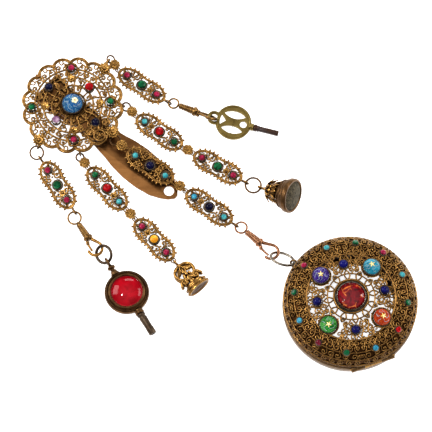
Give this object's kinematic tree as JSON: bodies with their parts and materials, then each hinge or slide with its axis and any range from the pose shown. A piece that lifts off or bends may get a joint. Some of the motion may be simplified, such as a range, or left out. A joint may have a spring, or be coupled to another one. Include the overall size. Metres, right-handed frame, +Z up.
{
  "type": "chatelaine",
  "caption": "Gilt chatelaine with a pierced brooch, belt hook and five drops that carry a watch case, keys and seals.",
  "frame": {"origin": "middle of the bounding box, on the surface the piece lies on", "axes": "+X runs from the brooch towards the watch case, +Y away from the viewer, +Z up from the surface"},
  "size_m": [0.1766, 0.1505, 0.0247],
  "materials": {
    "gilt_brass": "antique gilt, satin on the high edges and dark in the hollows",
    "copper": "smooth copper brown, softly worn",
    "rose_brass": "worn rose gilt",
    "bronze": "dark bronze",
    "blackened": "blackened iron",
    "steel": "old steel with rust",
    "silver_plate": "polished plating",
    "red_glass": "clear red over foil",
    "blue_glass": "enamel painted cabochon",
    "navy_glass": "polished opaque cabochons",
    "grey_glass": "polished smoky glass",
    "coloured_glass": "mixed cut and domed stones"
  },
  "bodies": {
    "chatelaine": {"brooch_plate": "gilt_brass", "brooch_centre_stone": "blue_glass", "brooch_stones": "coloured_glass", "belt_hook": "copper", "ring_a": "bronze", "ring_b": "bronze", "ring_c": "bronze", "ring_d": "bronze", "ring_e": "bronze", "connector_a0": "gilt_brass", "connector_b0": "gilt_brass", "connector_b1": "gilt_brass", "connector_c0": "gilt_brass", "connector_c1": "gilt_brass", "connector_d0": "gilt_brass", "connector_d1": "gilt_brass", "link_a1": "gilt_brass", "link_b1": "gilt_brass", "link_b2": "gilt_brass", "link_c1": "gilt_brass", "link_c2": "gilt_brass", "link_d1": "gilt_brass", "link_d2": "gilt_brass", "link_e1": "gilt_brass", "link_a1_stones": "coloured_glass", "link_b1_stones": "coloured_glass", "link_b2_stones": "coloured_glass", "link_c1_stones": "coloured_glass", "link_c2_stones": "coloured_glass", "link_d1_stones": "coloured_glass", "link_d2_stones": "coloured_glass", "link_e1_stones": "coloured_glass", "clip_a_bail": "rose_brass", "clip_c_bail": "rose_brass", "clip_e_bail": "rose_brass", "clip_a_hook": "rose_brass", "clip_c_hook": "rose_brass", "clip_e_hook": "rose_brass", "jump_ring_b": "bronze", "key_a_bow": "gilt_brass", "key_a_shank": "steel", "dark_ring_e": "blackened", "key_e_frame": "bronze", "key_e_stone": "red_glass", "key_e_shank": "steel", "seal_b_body": "gilt_brass", "seal_b_glass": "grey_glass", "seal_d_body": "gilt_brass", "bow_ring": "silver_plate", "case_back": "gilt_brass", "case_hinge_pin": "gilt_brass"},
    "lid": {"case_lid": "gilt_brass", "lid_centre_stone": "red_glass", "lid_flower_stones": "coloured_glass", "lid_dark_stones": "navy_glass", "lid_shoulder_stones": "coloured_glass"},
    "clip_a_gate_body": {"clip_a_gate": "rose_brass"},
    "clip_c_gate_body": {"clip_c_gate": "rose_brass"},
    "clip_e_gate_body": {"clip_e_gate": "rose_brass"}
  },
  "joints": [
    {"name": "lid_hinge", "type": "hinge", "parent": "chatelaine", "child": "lid", "pos_m": [0.06811, -0.07043, 0.01], "axis": [0.9426, 0.3338, 0], "range_deg": [0, 88]},
    {"name": "clip_a_gate", "type": "hinge", "parent": "chatelaine", "child": "clip_a_gate_body", "pos_m": [-0.00842, 0.04681, 0.00476], "axis": [0.3155, 0.8256, 0.4679], "range_deg": [0, 16], "stiffness_Nm_per_rad": 0.002, "springref_deg": -5.73},
    {"name": "clip_c_gate", "type": "hinge", "parent": "chatelaine", "child": "clip_c_gate_body", "pos_m": [0.01968, -0.01607, 0.00254], "axis": [-0.0151, 0.0831, 0.9964], "range_deg": [0, 16], "stiffness_Nm_per_rad": 0.002, "springref_deg": -5.73},
    {"name": "clip_e_gate", "type": "hinge", "parent": "chatelaine", "child": "clip_e_gate_body", "pos_m": [-0.05775, -0.01397, 0.00233], "axis": [-0.0054, 0.0082, 1], "range_deg": [0, 16], "stiffness_Nm_per_rad": 0.002, "springref_deg": -5.73}
  ]
}
